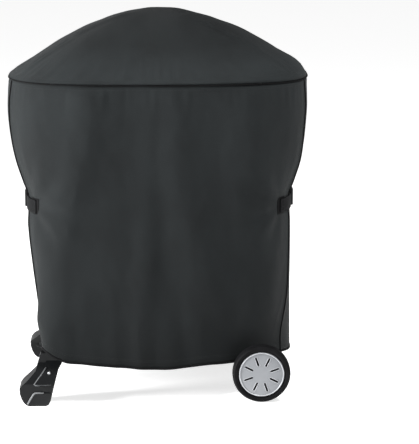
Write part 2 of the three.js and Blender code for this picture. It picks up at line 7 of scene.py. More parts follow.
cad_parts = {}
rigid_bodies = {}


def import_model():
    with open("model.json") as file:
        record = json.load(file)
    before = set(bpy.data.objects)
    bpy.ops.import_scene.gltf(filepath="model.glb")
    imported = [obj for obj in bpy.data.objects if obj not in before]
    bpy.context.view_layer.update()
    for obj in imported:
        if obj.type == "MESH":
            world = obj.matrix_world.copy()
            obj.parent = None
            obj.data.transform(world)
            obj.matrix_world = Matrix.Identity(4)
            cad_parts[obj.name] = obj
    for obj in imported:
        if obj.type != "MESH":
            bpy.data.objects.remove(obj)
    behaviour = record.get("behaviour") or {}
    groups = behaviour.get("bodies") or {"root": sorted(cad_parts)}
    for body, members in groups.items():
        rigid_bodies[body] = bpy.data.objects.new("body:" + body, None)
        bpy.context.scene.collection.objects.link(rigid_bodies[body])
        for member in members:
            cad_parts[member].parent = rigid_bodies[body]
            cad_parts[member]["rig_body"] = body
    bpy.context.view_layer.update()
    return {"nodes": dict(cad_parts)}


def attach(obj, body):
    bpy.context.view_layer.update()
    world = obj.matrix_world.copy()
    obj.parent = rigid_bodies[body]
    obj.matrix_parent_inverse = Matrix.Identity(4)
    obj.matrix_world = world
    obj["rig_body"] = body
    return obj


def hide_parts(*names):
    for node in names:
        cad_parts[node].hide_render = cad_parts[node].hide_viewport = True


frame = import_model()
MM = 0.001


# ---------------------------------------------------------------- camera, floor and lights

def look_from(obj, spot, target):
    obj.location = spot
    obj.rotation_euler = (Vector(target) - Vector(spot)).to_track_quat("-Z", "Y").to_euler()


def camera():
    lens = bpy.data.cameras.new("camera")
    lens.lens = 164.3
    lens.sensor_width = 36
    lens.clip_end = 60
    cam = bpy.data.objects.new("camera", lens)
    bpy.context.scene.collection.objects.link(cam)
    look_from(cam, (0, -5.5, 1.56), (0.146, 0, 0.443))
    bpy.context.scene.camera = cam


def floor():
    bm = bmesh.new()
    bmesh.ops.create_grid(bm, x_segments=1, y_segments=1, size=30)
    mesh = bpy.data.meshes.new("floor")
    bm.to_mesh(mesh)
    bm.free()
    ground = bpy.data.objects.new("floor", mesh)
    bpy.context.scene.collection.objects.link(ground)
    white = bpy.data.materials.new("floor_white")
    white.use_nodes = True
    shader = white.node_tree.nodes["Principled BSDF"]
    shader.inputs["Base Color"].default_value = (0.9, 0.9, 0.9, 1)
    shader.inputs["Roughness"].default_value = 0.9
    shader.inputs["Specular IOR Level"].default_value = 0.1
    shader.inputs["Emission Color"].default_value = (1, 1, 1, 1)
    shader.inputs["Emission Strength"].default_value = 0.7
    mesh.materials.append(white)


def softbox(name, spot, target, size, watts):
    lamp = bpy.data.lights.new(name, "AREA")
    lamp.shape = "RECTANGLE"
    lamp.size, lamp.size_y = size
    lamp.energy = watts
    box = bpy.data.objects.new(name, lamp)
    bpy.context.scene.collection.objects.link(box)
    look_from(box, spot, target)


def studio():
    world = bpy.data.worlds.new("studio")
    bpy.context.scene.world = world
    world.use_nodes = True
    world.node_tree.nodes["Background"].inputs["Color"].default_value = (1, 1, 1, 1)
    world.node_tree.nodes["Background"].inputs["Strength"].default_value = 0.25
    softbox("left_key", (-3.9, -1.15, 1.4), (-0.1, -0.1, 0.7), (0.7, 1.6), 362)
    softbox("front_fill", (2.6, -4.6, 2.4), (0, 0, 0.6), (2.2, 1.8), 14)
    softbox("top_light", (1.7, -0.9, 3.5), (0.2, 0, 0.9), (1.1, 0.9), 112)
    bpy.context.scene.view_settings.view_transform = "Standard"


camera()
floor()
studio()


# ---------------------------------------------------------------- finishes

class Finish:
    """A procedural material: a Principled shader, and the nodes that feed it."""

    def __init__(self, name, roughness, metallic=0.0, coordinates="Object", shine=0.5):
        self.material = bpy.data.materials.new(name)
        self.material.use_nodes = True
        self.tree = self.material.node_tree
        self.shader = self.tree.nodes["Principled BSDF"]
        self.shader.inputs["Roughness"].default_value = roughness
        self.shader.inputs["Metallic"].default_value = metallic
        self.shader.inputs["Specular IOR Level"].default_value = shine
        source = self.tree.nodes.new("ShaderNodeTexCoord")
        self.place = source.outputs[coordinates]
        self.solid = source.outputs["Object"]

    def mapped(self, scale, turn=(0, 0, 0), source=None):
        node = self.tree.nodes.new("ShaderNodeMapping")
        node.inputs["Scale"].default_value = scale
        node.inputs["Rotation"].default_value = turn
        self.tree.links.new(source or self.place, node.inputs["Vector"])
        return node.outputs["Vector"]

    def grain(self, scale, detail=3.0, source=None, roughness=0.55):
        node = self.tree.nodes.new("ShaderNodeTexNoise")
        node.inputs["Scale"].default_value = scale
        node.inputs["Detail"].default_value = detail
        node.inputs["Roughness"].default_value = roughness
        self.tree.links.new(source or self.solid, node.inputs["Vector"])
        return node.outputs["Fac"]

    def stripes(self, scale, source, axis="X", distortion=0.0):
        node = self.tree.nodes.new("ShaderNodeTexWave")
        node.wave_type = "BANDS"
        node.bands_direction = axis
        node.inputs["Scale"].default_value = scale
        node.inputs["Distortion"].default_value = distortion
        self.tree.links.new(source, node.inputs["Vector"])
        return node.outputs["Fac"]

    def mixed(self, kind, first, second):
        node = self.tree.nodes.new("ShaderNodeMath")
        node.operation = kind
        for socket, value in zip(node.inputs, (first, second)):
            if isinstance(value, (int, float)):
                socket.default_value = value
            else:
                self.tree.links.new(value, socket)
        return node.outputs["Value"]

    def tint(self, value, dark, light, low=0.3, high=0.7):
        ramp = self.tree.nodes.new("ShaderNodeValToRGB")
        ramp.color_ramp.elements[0].position = low
        ramp.color_ramp.elements[0].color = (*dark, 1)
        ramp.color_ramp.elements[1].position = high
        ramp.color_ramp.elements[1].color = (*light, 1)
        self.tree.links.new(value, ramp.inputs["Fac"])
        self.tree.links.new(ramp.outputs["Color"], self.shader.inputs["Base Color"])

    def painted_shading_by_height(self, painted_light_levels):
        """Paints light and shade into the colour: multiplies it by an amount that changes with height, given as
        (height, amount) points.
        """
        parts = self.tree.nodes.new("ShaderNodeSeparateXYZ")
        self.tree.links.new(self.solid, parts.inputs["Vector"])
        height = self.mixed("ADD", parts.outputs["Z"], self.mixed("MULTIPLY", self.grain(5, 3), 0.06))
        ramp = self.tree.nodes.new("ShaderNodeValToRGB")
        stops = ramp.color_ramp.elements
        while len(stops) < len(painted_light_levels):
            stops.new(0.5)
        for stop, (level, amount) in zip(stops, painted_light_levels):
            stop.position = (level + 0.03) / 1.1
            stop.color = (amount / 1.5, amount / 1.5, amount / 1.5, 1)
        self.tree.links.new(self.mixed("DIVIDE", height, 1.1), ramp.inputs["Fac"])
        scaled = self.tree.nodes.new("ShaderNodeVectorMath")
        scaled.operation = "SCALE"
        scaled.inputs["Scale"].default_value = 1.5
        self.tree.links.new(ramp.outputs["Color"], scaled.inputs[0])
        both = self.tree.nodes.new("ShaderNodeMix")
        both.data_type = "RGBA"
        both.blend_type = "MULTIPLY"
        both.inputs["Factor"].default_value = 1.0
        before = self.shader.inputs["Base Color"].links[0].from_socket
        self.tree.links.new(before, both.inputs[6])
        self.tree.links.new(scaled.outputs["Vector"], both.inputs[7])
        self.tree.links.new(both.outputs[2], self.shader.inputs["Base Color"])

    def gloss(self, value, low, high):
        node = self.tree.nodes.new("ShaderNodeMapRange")
        node.inputs["To Min"].default_value = low
        node.inputs["To Max"].default_value = high
        self.tree.links.new(value, node.inputs["Value"])
        self.tree.links.new(node.outputs["Result"], self.shader.inputs["Roughness"])

    def relief(self, value, depth, strength=1.0):
        node = self.tree.nodes.new("ShaderNodeBump")
        node.inputs["Strength"].default_value = strength
        node.inputs["Distance"].default_value = depth
        self.tree.links.new(value, node.inputs["Height"])
        if self.shader.inputs["Normal"].is_linked:
            before = self.shader.inputs["Normal"].links[0].from_socket
            self.tree.links.new(before, node.inputs["Normal"])
        self.tree.links.new(node.outputs["Normal"], self.shader.inputs["Normal"])


def bands(pitch):
    """The wave scale that repeats once in each pitch, in metres."""
    return 1 / pitch / 6.283


def woven(name, dark, light, pitch, depth, sheen, painted_light_levels=None):
    """Plain weave on the UV map, which is in metres, with mottled dye and soft creasing, and light and shade painted in
    by height where levels are given.
    """
    cloth = Finish(name, 0.8, coordinates="UV", shine=0.12)
    yarns = cloth.mapped((1, 1, 1))
    warp = cloth.stripes(bands(pitch), yarns, "X", 0.4)
    weft = cloth.stripes(bands(pitch), yarns, "Y", 0.4)
    cross = cloth.mixed("MAXIMUM", warp, weft)
    mottle = cloth.grain(7, 4)
    flecks = cloth.grain(420, 2)
    shade = cloth.mixed("ADD", cloth.mixed("MULTIPLY", mottle, 0.6), cloth.mixed("MULTIPLY", flecks, 0.4))
    cloth.tint(shade, dark, light, 0.32, 0.68)
    # Painted light and shade by height, when levels are given.
    if painted_light_levels:
        cloth.painted_shading_by_height(painted_light_levels)
    cloth.gloss(mottle, 0.72, 0.9)
    cloth.relief(cross, depth)
    cloth.relief(cloth.grain(38, 5), 0.0012, 0.35)
    cloth.shader.inputs["Sheen Weight"].default_value = sheen
    cloth.shader.inputs["Sheen Roughness"].default_value = 0.5
    return cloth.material


def ribbed_webbing():
    webbing = Finish("webbing_black", 0.8, coordinates="UV", shine=0.08)
    ribs = webbing.stripes(bands(0.0021), webbing.mapped((1, 1, 1)), "Y")
    twill = webbing.stripes(bands(0.0013), webbing.mapped((1, 1, 1), (0, 0, 0.9)), "X", 0.6)
    weave = webbing.mixed("ADD", webbing.mixed("MULTIPLY", ribs, 0.6), webbing.mixed("MULTIPLY", twill, 0.4))
    webbing.tint(weave, (0.002, 0.002, 0.0025), (0.0085, 0.009, 0.0095))
    webbing.relief(weave, 0.0005)
    return webbing.material


def moulded(name, dark, light, low, high, grain=600.0, metallic=0.0, shine=0.3):
    """Moulded plastic: a fine spark-eroded grain, a faint flow pattern, and dulled patches."""
    plastic = Finish(name, low, metallic, shine=shine)
    patches = plastic.grain(9, 4)
    plastic.tint(patches, dark, light)
    plastic.gloss(plastic.grain(22, 3), low, high)
    plastic.relief(plastic.grain(grain, 2), 0.00015, 0.5)
    return plastic.material


def tyre_black():
    rubber = Finish("tyre_black", 0.7, shine=0.1)
    rubber.tint(rubber.grain(30, 5), (0.0018, 0.0018, 0.0022), (0.0058, 0.0058, 0.0066))
    rubber.gloss(rubber.grain(14, 4), 0.55, 0.85)
    rubber.relief(rubber.grain(260, 4), 0.0004, 0.5)
    return rubber.material


def painted(name, dark, light, low, high):
    """Powder coat: orange peel under a slightly uneven gloss."""
    coat = Finish(name, low, 0.15)
    coat.tint(coat.grain(12, 4), dark, light)
    coat.gloss(coat.grain(40, 3), low, high)
    coat.relief(coat.grain(520, 1), 0.0002, 0.45)
    return coat.material


def bare_metal(name, dark, light, low, high, brushing):
    """Bare metal with a drawn grain along one direction, and duller spots."""
    metal = Finish(name, low, 1.0)
    drawn = metal.grain(90, 4, metal.mapped(brushing))
    metal.tint(drawn, dark, light)
    metal.gloss(metal.grain(16, 5), low, high)
    metal.relief(drawn, 0.0001, 0.4)
    return metal.material


def rough_cast(name, dark, light, metallic):
    cast = Finish(name, 0.6, metallic)
    cast.tint(cast.grain(18, 5), dark, light)
    cast.gloss(cast.grain(30, 4), 0.45, 0.75)
    cast.relief(cast.grain(210, 6), 0.0007, 0.6)
    return cast.material


FINISHES = {
    # The cloth's levels by height are painted shade and a painted highlight: darker towards the hem and over the crown,
    # lighter in a band just above the top seam.
    "fabric_grey": woven("fabric_grey", (0.0092, 0.0109, 0.0115), (0.0166, 0.0196, 0.0206), 0.0011, 0.00035, 0.03,
                         [(0.08, 0.42), (0.16, 0.6), (0.35, 0.8), (0.62, 0.9), (0.85, 1.0), (0.868, 1.3), (0.9, 1.25),
                          (0.95, 0.82), (1.03, 0.74)]),
    "piping_black": woven("piping_black", (0.0012, 0.0012, 0.0015), (0.004, 0.004, 0.0046), 0.0011, 0.0003, 0.0),
    "webbing_black": ribbed_webbing(),
    "plastic_black": moulded("plastic_black", (0.003, 0.0035, 0.004), (0.0072, 0.0078, 0.0084), 0.36, 0.52, shine=0.2),
    "tube_black": painted("tube_black", (0.011, 0.012, 0.013), (0.024, 0.026, 0.028), 0.35, 0.55),
    "steel": bare_metal("steel", (0.42, 0.43, 0.44), (0.66, 0.67, 0.68), 0.22, 0.42, (1, 12, 1)),
    "tyre_black": tyre_black(),
    # A lighter copy of the cap's grey for the slot lips and the rim ring: painted highlight.
    "cap_painted_highlight": moulded("cap_painted_highlight", (0.36, 0.37, 0.39), (0.46, 0.47, 0.49), 0.26, 0.38, 800.0, 0.1),
    # Much lighter plastic for beads along the foot's edges: painted highlight.
    "painted_highlight_plastic": moulded("painted_highlight_plastic", (0.1, 0.105, 0.11), (0.2, 0.205, 0.21), 0.25, 0.4, 900.0),
    "cap_grey": moulded("cap_grey", (0.2, 0.208, 0.222), (0.262, 0.271, 0.286), 0.32, 0.46, 800.0, 0.1),
    "cast_aluminium": rough_cast("cast_aluminium", (0.2, 0.205, 0.21), (0.34, 0.345, 0.35), 0.85),
    "lid_grey": painted("lid_grey", (0.03, 0.033, 0.036), (0.05, 0.054, 0.058), 0.28, 0.42),
    "cast_iron": rough_cast("cast_iron", (0.008, 0.008, 0.008), (0.022, 0.021, 0.02), 0.25),
}
FINISHES["thread"] = woven("thread", (0.012, 0.013, 0.014), (0.03, 0.032, 0.034), 0.0006, 0.0001, 0.1)


# ---------------------------------------------------------------- making pieces

def piece(name, bm, slot, body, *stands_for, finish=None, smooth=True):
    """A finished piece from a bmesh in metres, riding on a body and standing for the CAD nodes named."""
    mesh = bpy.data.meshes.new(name)
    bm.to_mesh(mesh)
    bm.free()
    mesh.materials.append(FINISHES[finish or slot])
    mesh.shade_smooth() if smooth else mesh.shade_flat()
    obj = bpy.data.objects.new(name, mesh)
    bpy.context.scene.collection.objects.link(obj)
    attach(obj, body)
    if stands_for:
        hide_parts(*stands_for)
    return obj


def softened(obj, width, segments=2, angle=35):
    """Rounds a piece's sharp edges, and keeps its flat faces flat."""
    bevel = obj.modifiers.new("soft_edges", "BEVEL")
    bevel.width = width
    bevel.segments = segments
    bevel.limit_method = "ANGLE"
    bevel.angle_limit = radians(angle)
    bevel.harden_normals = True
    bevel.use_clamp_overlap = True
    return obj


def thickened(obj, thickness, offset=-1.0):
    solid = obj.modifiers.new("thickness", "SOLIDIFY")
    solid.thickness = thickness
    solid.offset = offset
    solid.use_even_offset = False
    return obj


def along(levels, height):
    """The value at a height of a smooth curve through (height, value) points."""
    last = len(levels) - 1
    if height <= levels[0][0]:
        return levels[0][1]
    if height >= levels[last][0]:
        return levels[last][1]
    i = next(k for k in range(last + 1) if levels[k][0] > height) - 1

    def slope(k):
        low, high = levels[max(k - 1, 0)], levels[min(k + 1, last)]
        return (high[1] - low[1]) / (high[0] - low[0])

    step = levels[i + 1][0] - levels[i][0]
    t = (height - levels[i][0]) / step
    s = t * t * (3 - 2 * t)
    bend = slope(i) * step * t * (1 - t) ** 2 - slope(i + 1) * step * t * t * (1 - t)
    return levels[i][1] * (1 - s) + levels[i + 1][1] * s + bend


def between(low, high, share):
    return low + (high - low) * share


def hump(value, middle, spread):
    return exp(-(((value - middle) / spread) ** 2))


def eased(value, low, high):
    """0 below low, 1 above high, and a smooth step between."""
    t = min(1.0, max(0.0, (value - low) / (high - low)))
    return t * t * (3 - 2 * t)


# ---------------------------------------------------------------- the cover's surface, in millimetres

SEAM_HEIGHT, TOP_HEIGHT, CLOTH = 856, 1035, 3
LEFT_SIDE = [(80, 310), (140, 310), (200, 316), (355, 341), (460, 353), (540, 352),
             (580, 366), (640, 386), (710, 400), (790, 404.5), (860, 397)]
RIGHT_SIDE = [(80, 370), (200, 369.5), (355, 369), (460, 368.5), (540, 366), (580, 380),
              (640, 399), (710, 408), (790, 413), (860, 409.1)]
FRONT_BACK = [(80, 256), (180, 256), (300, 250), (530, 243), (700, 252), (790, 257), (860, 254)]
LEFT_CORNERS = [(80, 12), (160, 12), (230, 6), (320, 4), (530, 3.4), (860, 3)]
RIGHT_CORNERS = [(80, 2.12), (165, 2.12), (300, 2.9), (530, 3.2), (860, 3)]
STRAP_HEIGHT, STRAP_WIDTH = 520, 38
COLUMN = 2 * pi / 56
CORNER_SEAM = 4 * COLUMN
SEAM_LINES = (25.7, 154.3)                              # the corner seams, in degrees, as the folds see them
FLICK_REACH, FLICK_TOP, FLICK_DROP = 26, 138, 28        # the hem's left corner turns outwards below FLICK_TOP


def turn_of(angle):
    """An angle in degrees from 0 to 360."""
    return (angle * 180 / pi) % 360


# The hem's height by angle from the right-hand end, over the front: it is caught up over the foot.
HEM = [(180, 112), (190, 112), (196, 112), (203, 118), (208, 127), (213, 139), (219, 145.5), (224, 142), (228, 128),
       (232, 115), (237, 111), (243, 106), (249, 103), (256, 100), (265, 97), (275, 95.5), (283, 99), (289, 102.5),
       (297, 103), (325, 104.5), (335, 103), (347, 96), (360, 92)]


def hem_height(angle):
    degrees = turn_of(angle)
    return along(HEM, degrees if degrees > 180 else 360 - degrees)


def skirt(height, angle, offset=0.0):
    """A point of the skirt's outer face, set off outwards."""
    c, s = cos(angle), sin(angle)
    if c < 0:
        flick = FLICK_REACH * max(0, (FLICK_TOP - height) / FLICK_DROP) ** 2.1 * hump(turn_of(angle), 193, 6.5)
        width, n = along(LEFT_SIDE, height) + flick, along(LEFT_CORNERS, height)
    else:
        width, n = along(RIGHT_SIDE, height), along(RIGHT_CORNERS, height)
    depth = along(FRONT_BACK, height)
    reach = (abs(c) ** n + abs(s) ** n) ** (-1 / n)
    x, y = c * reach, s * reach
    out_x = (1 if x >= 0 else -1) * abs(x) ** (n - 1) / width
    out_y = (1 if y >= 0 else -1) * abs(y) ** (n - 1) / depth
    out = hypot(out_x, out_y)
    return Vector((width * x + offset * out_x / out, depth * y + offset * out_y / out, height))


# Each long fold: how far it stands out, its half widths to the left and right, and its course as (height, across).
FRONT_FOLDS = [
    (12.5, (58, 45), [(100, -304), (199, -298), (284, -284), (369, -270), (454, -254), (539, -236), (624, -211),
                      (708, -194), (793, -180), (870, -168)]),
    (-2.2, (60, 60), [(100, -150), (369, -120), (539, -95), (708, -80), (870, -70)]),
    (1.6, (30, 30), [(100, -118), (300, -116), (420, -110)]),
    (5.5, (42, 42), [(100, 225), (228, 180), (350, 125), (482, 84), (620, 56), (870, 44)]),
    (-4.0, (38, 38), [(100, 90), (300, 45), (500, 0), (870, -30)]),
    (-4.0, (40, 40), [(100, 290), (300, 250), (500, 180), (870, 140)]),
    (4.5, (46, 46), [(100, 330), (300, 310), (500, 285), (700, 265), (870, 262)]),
    (4.5, (30, 30), [(80, -44), (200, -40), (330, -30), (420, -20)]),
]
BACK_FOLDS = [
    (5.0, (55, 55), [(100, -230), (500, -205), (870, -160)]),
    (-4.5, (45, 45), [(100, -120), (500, -100), (870, -95)]),
    (4.0, (50, 50), [(100, 15), (500, 0), (870, 20)]),
    (-4.0, (42, 42), [(100, 110), (500, 125), (870, 90)]),
    (4.5, (48, 48), [(100, 215), (500, 210), (870, 180)]),
]


def drape(height, angle):
    """How far the worn cloth stands out from the plain skirt, in millimetres."""
    spot = skirt(height, angle)
    front = spot.y < 0
    flat = eased(abs(spot.y), 120, 200)
    long_folds = 0.0
    for rise, widths, course in FRONT_FOLDS if front else BACK_FOLDS:
        middle = along(course, height)
        long_folds += rise * hump(spot.x, middle, widths[spot.x > middle])
    # Hanging folds that open towards the hem, tighter ones where the seam gathers the cloth.
    sweep = angle * 180 / pi
    low = 1 - eased(height, 110, 420)
    hanging = 4.5 * low * noise.noise((sweep / 9.0, 1.7, height / 900))
    gathers = 2.2 * eased(height, 760, 850) * noise.noise((sweep / 2.6, 4.1, height / 160))
    crumple = 2.0 * noise.noise((spot.x / 70, spot.y / 70, spot.z / 160))
    crumple += 0.9 * noise.noise((spot.x / 26, spot.y / 26 + 7, spot.z / 48))
    # The strap draws creases out of its sewn ends.
    pulled = 0.0
    for side in (-1, 1):
        away_x = (side * 335 - spot.x) * side
        away_z = height - STRAP_HEIGHT
        away = hypot(away_x, away_z)
        if away < 230:
            fan = atan2(away_z, max(away_x, 1.0))
            pulled += 2.6 * hump(away, 75, 62) * sin(fan * 7 + side)
    side_folds = 2.4 * (1 - flat) * noise.noise((spot.y / 34, 9.0 * (1 if spot.x > 0 else -1), height / 330))
    folds = long_folds * flat + hanging + gathers + crumple + pulled + side_folds
    # The ends are pulled tight over the grill, so nothing stands out there.
    folds = min(folds, between(0.6, 13.0, flat)) - 2.2 * (1 - flat) * eased(SEAM_HEIGHT - height, 0, 60)
    # Flat under the straps and at the seams, and held back where the wheels stand close.
    near_side = 1 - eased(abs(spot.y), 165, 205)
    under_strap = near_side * hump(height, STRAP_HEIGHT, 30)
    at_seam = min(abs((sweep % 180) - line) for line in SEAM_LINES)
    seam_hold = 1 - hump(at_seam, 0, 1.6)
    edge_hold = eased(SEAM_HEIGHT - height, 0, 26)
    wheel_hold = 1 - 0.85 * eased(spot.x, 110, 190) * (1 - eased(height, 170, 240))
    foot_hold = 1 - 0.8 * eased(-spot.x, 215, 270) * (1 - eased(height, 150, 230))
    return folds * (1 - under_strap) * seam_hold * edge_hold * wheel_hold * foot_hold


def worn_skirt(height, angle, offset=0.0):
    return skirt(height, angle, drape(height, angle) + offset)


# Creases in the top panel: height, half width, and its two ends as (across, back).
TOP_CREASES = [
    (3.4, 9, (-352, -120), (-235, -95)),
    (-3.2, 5, (-345, -106), (-235, -82)),
    (3.4, 10, (-215, -75), (-70, -40)),
    (-3.2, 5, (-210, -60), (-75, -26)),
    (2.4, 10, (120, -70), (225, -120)),
    (-2.4, 5, (122, -84), (220, -130)),
    (2.2, 10, (250, -110), (330, -150)),
    (2.6, 11, (345, 95), (190, 70)),
    (-2.0, 10, (330, 70), (195, 45)),
    (2.2, 11, (-330, 130), (-180, 90)),
    (2.0, 12, (-120, 150), (60, 175)),
]


def crease_at(x, y):
    total = 0.0
    for rise, width, (x0, y0), (x1, y1) in TOP_CREASES:
        length = hypot(x1 - x0, y1 - y0)
        run = ((x - x0) * (x1 - x0) + (y - y0) * (y1 - y0)) / length
        off = ((x - x0) * (y1 - y0) - (y - y0) * (x1 - x0)) / length
        ends = eased(run, -30, 25) * (1 - eased(run, length - 25, length + 30))
        total += rise * hump(off, 0, width) * ends
    return total


def worn_top(share, angle, lift=0.0):
    """A point of the worn top panel at a share of the way from its middle to the seam."""
    edge = skirt(SEAM_HEIGHT, angle)
    slope = between(1.7, 1.85, eased(cos(angle), -0.35, 0.35))
    x, y = edge.x * share, edge.y * share
    dome = 1 - share ** slope
    height = between(SEAM_HEIGHT + 1 + CLOTH, TOP_HEIGHT + CLOTH, dome)
    height += 30 * max(0, cos(angle)) * (share ** 6 - share ** 24)
    sweep = angle * 180 / pi
    rim = eased(1 - share, 0.0, 0.07)
    slack = 2.6 * noise.noise((x / 120, y / 120, 3.0)) + 1.1 * noise.noise((x / 42, y / 42, 9.0))
    gathers = 2.0 * eased(share, 0.72, 0.95) * noise.noise((sweep / 3.2, 2.2, share * 3))
    sag = -5.0 * hump(share, 0.84, 0.12) * (0.6 + 0.4 * noise.noise((sweep / 30, 0.0, 0.0)))
    height += (slack + gathers + sag + crease_at(x, y)) * rim + lift
    return Vector((x, y, height))


# ---------------------------------------------------------------- the cover's cloth

def cloth(name, columns, rows, place, size, slot, body, *stands_for):
    """A sheet of cloth: a flat grid with its weave laid on in metres, then hung where place says."""
    bm = bmesh.new()
    bmesh.ops.create_grid(bm, x_segments=columns, y_segments=rows, size=0.5)
    weave = bm.loops.layers.uv.new("weave")
    for face in bm.faces:
        for loop in face.loops:
            across, up = loop.vert.co.x + 0.5, loop.vert.co.y + 0.5
            loop[weave].uv = (across * size[0], up * size[1])
    for vert in bm.verts:
        vert.co = place(vert.co.x + 0.5, vert.co.y + 0.5) * MM
    return piece(name, bm, slot, body, *stands_for)


def skirt_panel(name, first, last, columns, width, node):
    def place(across, up):
        angle = between(first, last, across)
        height = between(hem_height(angle), SEAM_HEIGHT, up)
        return worn_skirt(height, angle)

    return thickened(cloth(name, columns, 104, place, (width, 0.765), "fabric_grey", "cover", node), 0.0012)


def top_panel():
    def place(across, up):
        x, y = 2 * across - 1, 2 * up - 1
        share = max(abs(x), abs(y))
        if share < 1e-6:
            return worn_top(0.0, 0.0)
        if abs(x) >= abs(y):
            quarter, step = (0, y / share) if x > 0 else (2, -y / share)
        else:
            quarter, step = (1, -x / share) if y > 0 else (3, x / share)
        return worn_top(share, quarter * pi / 2 + step * pi / 4)

    top = cloth("top_cloth", 176, 176, place, (0.88, 0.58), "fabric_grey", "cover", "cover_top")
    return thickened(top, 0.0012)


def bead(name, points, radius, closed, slot, body, *stands_for, sides=4, finish=None):
    """A round bead of binding along a course of points in metres."""
    course = bpy.data.curves.new(name, "CURVE")
    course.dimensions = "3D"
    course.bevel_depth = radius
    course.bevel_resolution = sides
    course.use_fill_caps = not closed
    line = course.splines.new("POLY")
    line.points.add(len(points) - 1)
    for spot, point in zip(line.points, points):
        spot.co = (*point, 1)
    line.use_cyclic_u = closed
    carrier = bpy.data.objects.new(name + "_course", course)
    bpy.context.scene.collection.objects.link(carrier)
    mesh = bpy.data.meshes.new_from_object(carrier)
    bpy.data.objects.remove(carrier)
    bm = bmesh.new()
    bm.from_mesh(mesh)
    bpy.data.meshes.remove(mesh)
    bmesh.ops.remove_doubles(bm, verts=bm.verts, dist=1e-6)
    weave = bm.loops.layers.uv.verify()
    for face in bm.faces:
        for loop in face.loops:
            spot = loop.vert.co
            loop[weave].uv = (atan2(spot.y, spot.x) * 0.35, spot.z)
    bmesh.ops.recalc_face_normals(bm, faces=bm.faces)
    return piece(name, bm, slot, body, *stands_for, finish=finish)


def round_course(place, steps):
    return [place(2 * pi * k / steps) * MM for k in range(steps)]


def stitches(name, spots, body, length=0.0032, width=0.0008, slot="piping_black"):
    """Short lock stitches: one at each (place, along, outwards), slightly sunk in the cloth."""
    bm = bmesh.new()
    for spot, ahead, outwards in spots:
        ahead = ahead.normalized()
        outwards = (outwards - ahead * outwards.dot(ahead)).normalized()
        turn = Matrix((ahead, outwards.cross(ahead), outwards)).transposed().to_4x4()
        size = Matrix.Diagonal((length / 2, width / 2, width / 2, 1))
        bmesh.ops.create_icosphere(bm, subdivisions=1, radius=1, matrix=Matrix.Translation(spot) @ turn @ size)
    return piece(name, bm, slot, body, finish="thread")


def stitch_row(place, first, last, count):
    """Spots for stitches along a course: place(t) gives a point in millimetres, t from first to last."""
    spots = []
    for k in range(count):
        t = between(first, last, (k + 0.5) / count)
        step = (last - first) / count * 0.3
        here, ahead = place(t), place(t + step) - place(t - step)
        centre = Vector((here.x * 0.2, here.y * 0.2, here.z))
        spots.append((here * MM, ahead, here - centre))
    return spots


def cover_cloth():
    turn = 2 * pi
    panels = [
        skirt_panel("right_cloth", -CORNER_SEAM, CORNER_SEAM, 56, 0.27, "cover_right"),
        skirt_panel("rear_cloth", CORNER_SEAM, pi - CORNER_SEAM, 190, 1.02, "cover_rear"),
        skirt_panel("left_cloth", pi - CORNER_SEAM, pi + CORNER_SEAM, 56, 0.27, "cover_left"),
        skirt_panel("front_cloth", pi + CORNER_SEAM, turn - CORNER_SEAM, 190, 1.02, "cover_front"),
    ]
    top = top_panel()

    def piping(angle):
        wave = 0.5 * noise.noise((angle * 9, 0, 0)) + 1.6 * noise.noise((angle * 2.6, 5.0, 0))
        return skirt(SEAM_HEIGHT, angle, 1.3) + Vector((0, 0, 1.6 + wave))

    def hem(angle):
        return worn_skirt(hem_height(angle), angle, -0.6) - Vector((0, 0, 1.2))

    piping_bead = bead("top_piping_cord", round_course(piping, 360), 0.0015, True, "piping_black", "cover",
                       "top_piping")
    hem_bead = bead("hem_tape", round_course(hem, 360), 0.0032, True, "piping_black", "cover", "hem_binding")
    for name, angle in (("rear_right", CORNER_SEAM), ("rear_left", pi - CORNER_SEAM),
                        ("front_left", pi + CORNER_SEAM), ("front_right", -CORNER_SEAM)):
        low = hem_height(angle) + 2
        course = []
        for k in range(121):
            height = between(low, SEAM_HEIGHT - 2, k / 120)
            flat = 1 - 0.75 * hump(height, STRAP_HEIGHT, 26)
            course.append(worn_skirt(height, angle, 0.2 + 1.1 * flat) * MM)
        bead(f"{name}_seam_cord", course, 0.0018, False, "piping_black", "cover", f"seam_{name}", sides=3)
    rows = []
    for lift in (-11, 7.5):
        if lift < 0:
            rows += stitch_row(lambda a: worn_skirt(SEAM_HEIGHT + lift, a, 0.1), 0, turn, 520)
        else:
            rows += stitch_row(lambda a: worn_top(0.968, a, 0.15), 0, turn, 520)
    top_rows = stitches("top_stitching", rows, "cover")
    hem_rows = stitch_row(lambda a: worn_skirt(hem_height(a) + 17, a, 0.1), 0, turn, 460)
    hem_rows += stitch_row(lambda a: worn_skirt(hem_height(a) + 21, a, 0.1), 0, turn, 460)
    hem_stitching = stitches("hem_stitching", hem_rows, "cover")
    side_rows = []
    for angle, towards in ((CORNER_SEAM, 1), (pi - CORNER_SEAM, -1), (pi + CORNER_SEAM, 1), (-CORNER_SEAM, -1)):
        beside = angle + towards * 0.021
        side_rows += stitch_row(lambda z: worn_skirt(z, beside, 0.1), hem_height(beside) + 24, 842, 170)
    seam_stitching = stitches("corner_seam_stitching", side_rows, "cover")


cover_cloth()


# ---------------------------------------------------------------- straps and buckles

def strip(name, place, columns, rows, size, thickness, slot, body, *stands_for):
    strap = cloth(name, columns, rows, place, size, slot, body, *stands_for)
    return thickened(strap, thickness, 1.0)


def side_angle(side, distance):
    """The angle at which the skirt reaches a distance backwards from the middle of a side."""
    angle, step = 0.0, radians(0.1)
    while abs(skirt(STRAP_HEIGHT, angle).y) < abs(distance):
        angle += step
    turned = angle if distance > 0 else -angle
    return turned if side > 0 else pi - turned


